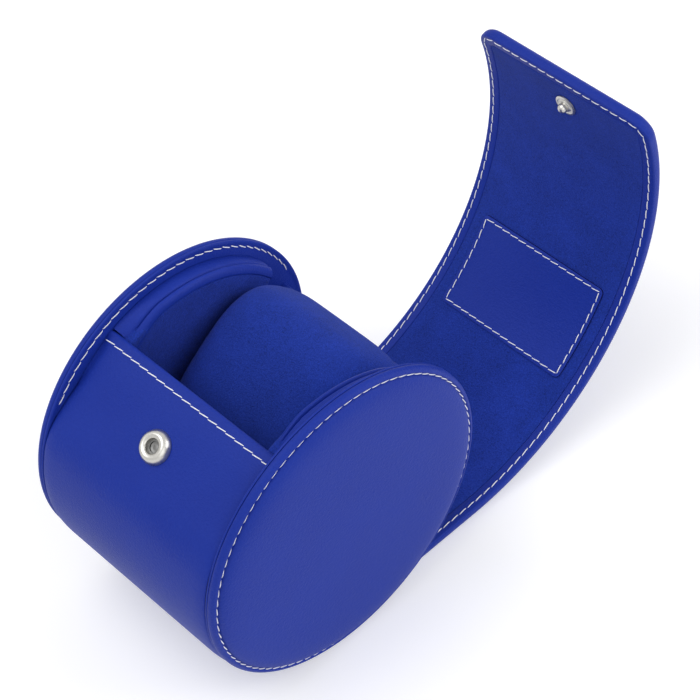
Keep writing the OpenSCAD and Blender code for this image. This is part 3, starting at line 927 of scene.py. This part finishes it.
EDGE_OUTER_R = 2.4     # rounding of the flap's edges
EDGE_INNER_R = 0.6
BORDER = 4.0           # leather border round the flap's suede
SEAM_IN = 1.85         # seam's distance from the edges, and from the end
SEAM_END_IN = 1.3
OUTER_SEAM_IN = 2.6    # the same seam where it comes out on the flap's outer face
OUTER_SEAM_Z = 0.2
RECESS = 0.35          # the lining lies this deep
EDGE_STEP, EDGE_DEPTH = 0.15, 0.08


def flap_leather():
    """The flap's leather: rounded on the outer face, with a border turned over round the lining."""
    piece = slab("flap_leather", flap_outline(0, ROOT - 3), 0.0, FLAP_T)
    rounded(piece, lambda p: p.z < 0.01, EDGE_OUTER_R, 6)
    rounded(piece, lambda p: p.z > FLAP_T - 0.01, EDGE_INNER_R, 3)
    edit(piece)
    bpy.ops.mesh.select_all(action="DESELECT")
    leave_edit()
    top = max(piece.data.polygons, key=lambda f: f.center.z * 1000 + f.area)
    top.select = True
    bpy.ops.object.mode_set(mode="EDIT")
    bpy.ops.mesh.inset(thickness=(BORDER - EDGE_INNER_R - EDGE_STEP) * MM)
    bpy.ops.mesh.inset(thickness=EDGE_STEP * MM, depth=-EDGE_DEPTH * MM)
    bpy.ops.mesh.inset(thickness=0.12 * MM, depth=-(RECESS - EDGE_DEPTH) * MM)
    leave_edit()
    in_strips(piece, "leather", "flap_cover_%d")


SUEDE_UP = FLAP_T - 0.06


def flap_suede():
    """The flap's lining."""
    piece = slab("flap_suede", flap_outline(BORDER + 0.14, ROOT - 3), FLAP_T - 0.7, SUEDE_UP, 0.18, 2)
    in_strips(piece, "suede", "flap_lining_%d")


def flap_stitches():
    """The seam round the flap, on its border and where it comes out on the outer face, in strips."""
    groups = {}
    for height, up, inset in ((FLAP_T, 1, SEAM_IN), (OUTER_SEAM_Z, -1, OUTER_SEAM_IN)):
        line = [Vector((x, y, height)) * MM
                for x, y in flap_outline(inset, ROOT + 1.5, inset - SEAM_IN + SEAM_END_IN)]
        for place, ahead in along_line(line):
            k = 0
            while k < FLAP_COUNT and place.y / MM > middle_of(k + 1):
                k += 1
            groups.setdefault(k, []).append((place, ahead, Vector((0, 0, up))))
    for k, spots in groups.items():
        rides_line(bent(sewn("flap_stitches_%d" % k, spots)), k)


PATCH_HALF = 23.6
PATCH_LOW, PATCH_HIGH = 35.8, 59.4     # in degrees round the flap's bend
PATCH_T = 0.62
PATCH_SEAM_IN = 1.15


def rounded_box(half, low, high, r):
    """Outline of a box across the flap with rounded corners."""
    line = []
    for cx, cy, a0 in ((half - r, low + r, -90), (half - r, high - r, 0), (r - half, high - r, 90),
                       (r - half, low + r, 180)):
        line += [(cx + r * math.cos(math.radians(a)), cy + r * math.sin(math.radians(a)))
                 for a in steps(a0, a0 + 90, 22.5)]
    return line


def patch():
    """Bare leather patch, sewn on the suede."""
    low = BEND_Y + BEND_R * math.radians(PATCH_LOW)
    high = BEND_Y + BEND_R * math.radians(PATCH_HIGH)
    top = SUEDE_UP + PATCH_T
    piece = slab("patch", rounded_box(PATCH_HALF, low, high, 1.6), SUEDE_UP - 0.1, top, 0.16, 2)
    for y in steps(low + 1, high - 1, 2.0):
        cut(piece, y)
    k = FLAT_COUNT + math.ceil(PATCH_LOW * BEND_COUNT / BEND_SWEEP)
    smooth(bent(piece), 50)
    dressed(piece, "leather", ["label_patch_lower", "label_patch_upper"])
    piece.data.materials.append(PATCH_EDGE_PAINT_AND_SHADE)
    bend_centre = Vector((0, BEND_Y, BEND_R + FLAP_T)) * MM
    # The side faces get the darker edge leather: edge paint, and painted shade along the raised edge.
    for face in piece.data.polygons:
        inwards = bend_centre - face.center
        inwards.x = 0
        if abs(face.normal.dot(inwards.normalized())) < 0.5:
            face.material_index = 1
    rides_line(piece, k)
    half, first, last = PATCH_HALF - PATCH_SEAM_IN, low + PATCH_SEAM_IN, high - PATCH_SEAM_IN
    corners = [(half, first), (half, last), (-half, last), (-half, first), (half, first)]
    places = [Vector((x, y, top)) * MM for x, y in corners]
    spots = [(p, d, Vector((0, 0, 1))) for a, b in zip(places, places[1:]) for p, d in along_line([a, b])]
    rides_line(bent(sewn("patch_stitches", spots)), k)


# ---- Press stud ----

SOCKET_ALONG = 6.1     # the socket's middle, down the panel
SOCKET_R = 4.75
SOCKET_H = 2.4
STUD_IN = 12.5         # the stud's middle, in from the flap's end
STUD_SAG = 0.13        # its flat base stands this high over the curved lining
BALL_R, BALL_UP = 1.5, 1.3
POST_R = 1.15


def lathed(name, profile, count=56):
    """A profile of (radius, height) spun about the Z axis."""
    piece = drawn(name, [Vector((r, 0, h)) * MM for r, h in profile])
    bpy.ops.mesh.select_all(action="SELECT")
    bpy.ops.mesh.spin(steps=count, angle=2 * math.pi, center=(0, 0, 0), axis=(0, 0, 1))
    tidy_mesh()
    leave_edit()
    return piece


def socket():
    """Socket on the panel: a domed ring, and a grey cup in its mouth."""
    ring = [(2.0, 0.06), (2.0, 1.6), (2.08, 1.9), (2.3, 2.14), (2.65, 2.3), (3.0, SOCKET_H - 0.02),
            (3.25, SOCKET_H - 0.02), (3.6, 2.24), (3.95, 1.96), (4.25, 1.56), (4.5, 1.06), (4.66, 0.6),
            (SOCKET_R, 0.24), (SOCKET_R, 0.06), (2.0, 0.06)]
    cup = [(0, 0.1), (0.5, 0.1), (0.7, 0.05), (1.0, 0.05), (1.25, 0.14), (1.6, 0.18), (1.96, 0.3),
           (1.96, 0.02), (0, 0.02)]
    turn = Matrix.Rotation(math.radians(PANEL_ANGLE - 90), 4, "X")
    seat = Matrix.Translation(panel_point(SOCKET_ALONG)) @ turn
    for name, profile, slot, stands_for in (("socket", ring, "nickel", ["socket_cap"]),
                                            ("socket_cup", cup, "rivet_steel", ["socket_spring"])):
        piece = lathed(name, profile)
        piece.data.transform(seat)
        dressed(piece, slot, stands_for)
        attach(smooth(piece, 60), "case")


def stud():
    """Stud on the flap's lining: a washer with a raised ring, a stepped post, and the ball."""
    profile = [(0, -0.05), (3.4, -0.05), (3.5, 0.12), (3.45, 0.4), (3.3, 0.5), (2.75, 0.5), (2.6, 0.36),
               (2.1, 0.36), (2.0, 0.55), (1.85, 0.62), (1.75, 0.62), (1.7, 0.84), (1.45, 0.9), (POST_R, 0.9)]
    low = math.degrees(math.acos(POST_R / BALL_R))
    profile += [(BALL_R * math.cos(math.radians(a)), BALL_UP + BALL_R * math.sin(math.radians(a)))
                for a in steps(-low, 90, 12)]
    piece = lathed("stud", profile)
    turn = BEND_SWEEP - math.degrees(STUD_IN / BEND_R)
    bend_centre = Vector((0, BEND_Y, FLAP_T + BEND_R)) * MM
    piece.data.transform(Matrix.Translation(bend_centre) @ Matrix.Rotation(math.radians(turn), 4, "X")
                         @ Matrix.Translation(Vector((0, 0, STUD_SAG - BEND_R)) * MM))
    dressed(piece, "nickel", ["snap_stud"])
    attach(smooth(piece, 40), "flap_%d" % FLAP_COUNT)


# ---- Light, floor and camera ----

SOFT_LIGHT = 0.5       # light from all round
FLOOR_GLOW = 0.3       # lifts the floor towards white where it is seen, and lights nothing
FLOOR_SIZE = 8.0       # in metres
AIM_OF_LAMPS = Vector((0, 0.04, 0.04))
SEEN_BY = ("Is Camera Ray", "Is Glossy Ray", "Is Transmission Ray")


def studio():
    """Soft light all round, white where the camera or a gloss sees it, and three large lamps."""
    world = bpy.context.scene.world or bpy.data.worlds.new("world")
    bpy.context.scene.world = world
    world.use_nodes = True
    tree = world.node_tree
    tree.nodes.clear()
    mix = tree.nodes.new("ShaderNodeMixShader")
    for place, strength in ((1, SOFT_LIGHT), (2, 1.0)):
        around = tree.nodes.new("ShaderNodeBackground")
        around.inputs["Color"].default_value = (1, 1, 1, 1)
        around.inputs["Strength"].default_value = strength
        tree.links.new(around.outputs[0], mix.inputs[place])
    path = tree.nodes.new("ShaderNodeLightPath")
    seen = path.outputs[SEEN_BY[0]]
    for ray in SEEN_BY[1:]:
        either = tree.nodes.new("ShaderNodeMath")
        either.operation = "MAXIMUM"
        tree.links.new(seen, either.inputs[0])
        tree.links.new(path.outputs[ray], either.inputs[1])
        seen = either.outputs[0]
    tree.links.new(seen, mix.inputs[0])
    out = tree.nodes.new("ShaderNodeOutputWorld")
    tree.links.new(mix.outputs[0], out.inputs["Surface"])
    for name, place, size, power in (
            ("key", (-0.25, -0.35, 1.0), 0.8, 5.0),
            ("fill", (0.8, -0.45, 0.6), 0.8, 1.8),
            ("back", (0.8, 0.75, 0.6), 0.7, 5.5)):
        lamp = bpy.data.lights.new(name, "AREA")
        lamp.size = size
        lamp.energy = power
        holder = bpy.data.objects.new(name, lamp)
        bpy.context.collection.objects.link(holder)
        holder.location = place
        holder.rotation_mode = "QUATERNION"
        holder.rotation_quaternion = (AIM_OF_LAMPS - Vector(place)).to_track_quat("-Z", "Y")


def floor():
    """Plain pale floor that keeps the case's shadow."""
    bpy.ops.object.select_all(action="DESELECT")
    bpy.ops.mesh.primitive_plane_add(size=FLOOR_SIZE, location=(0, 0, 0))
    piece = bpy.context.object
    piece.name = "floor"
    f = Finish("floor")
    f.set(Base_Color=(0.86, 0.86, 0.87, 1), Roughness=0.9, Specular_IOR_Level=0.1)
    camera_ray = f.node("LightPath", "Is Camera Ray")
    glossy_ray = f.node("LightPath", "Is Glossy Ray")
    f.set(Emission_Color=(1, 1, 1, 1), Emission_Strength=(camera_ray + glossy_ray) * FLOOR_GLOW)
    piece.data.materials.append(f.material)


CAMERA_AT = Vector((319.1, -234.9, 523.2))
CAMERA_AIM = Vector((-10.53, 44.84, 45.0))
CAMERA_ROLL = -5.143
FOCAL_PIXELS = 2288.0


def camera():
    """The photo's camera, fitted to the case's seams."""
    data = bpy.data.cameras.new("camera")
    data.sensor_width = 36.0
    data.lens = data.sensor_width * FOCAL_PIXELS / 700
    data.clip_start = 0.01
    holder = bpy.data.objects.new("camera", data)
    bpy.context.collection.objects.link(holder)
    ahead = (CAMERA_AIM - CAMERA_AT).normalized()
    right = ahead.cross(Vector((0, 0, 1))).normalized()
    up = right.cross(ahead)
    c, s = math.cos(math.radians(CAMERA_ROLL)), math.sin(math.radians(CAMERA_ROLL))
    right, up = right * c + up * s, up * c - right * s
    facing = Matrix((right, up, -ahead)).transposed().to_4x4()
    holder.matrix_world = Matrix.Translation(CAMERA_AT * MM) @ facing
    bpy.context.scene.camera = holder


for side_name, side_sign in (("left", -1), ("right", 1)):
    round_side(side_name, side_sign)
    flange(side_name, side_sign)
    side_pad(side_name, side_sign)
    collar(side_name, side_sign)
wrap()
rear_wall()
cushion()
flap_leather()
flap_suede()
flap_stitches()
patch()
socket()
stud()
bpy.data.objects.remove(stitch_shape)
floor()
studio()
camera()
bpy.context.scene.view_settings.view_transform = "Standard"
